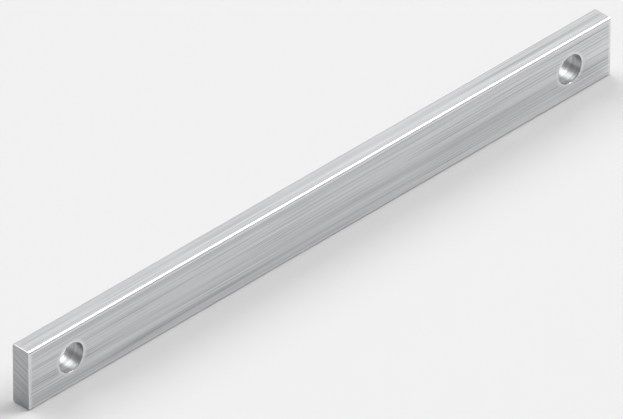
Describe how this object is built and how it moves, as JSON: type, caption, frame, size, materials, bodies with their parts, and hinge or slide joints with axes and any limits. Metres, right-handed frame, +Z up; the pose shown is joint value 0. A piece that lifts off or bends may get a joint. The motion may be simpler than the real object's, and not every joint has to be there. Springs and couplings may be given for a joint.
{
  "type": "flat bar",
  "caption": "Straight metal bar of flat section with rounded long edges, square-cut ends and a bolt hole near each end, for joining or bracing framing.",
  "frame": {"origin": "on the floor under the middle of the bar, at the centre of the narrow edge it stands on", "axes": "+X along the bar's length, +Y through its thickness from the front wide face to the back one, +Z up across its width"},
  "size_m": [0.35, 0.01, 0.03],
  "materials": {
    "bar_steel": "rolled and satin-ground along its length"
  },
  "bodies": {
    "root": {"flat_bar": "bar_steel"}
  },
  "joints": []
}
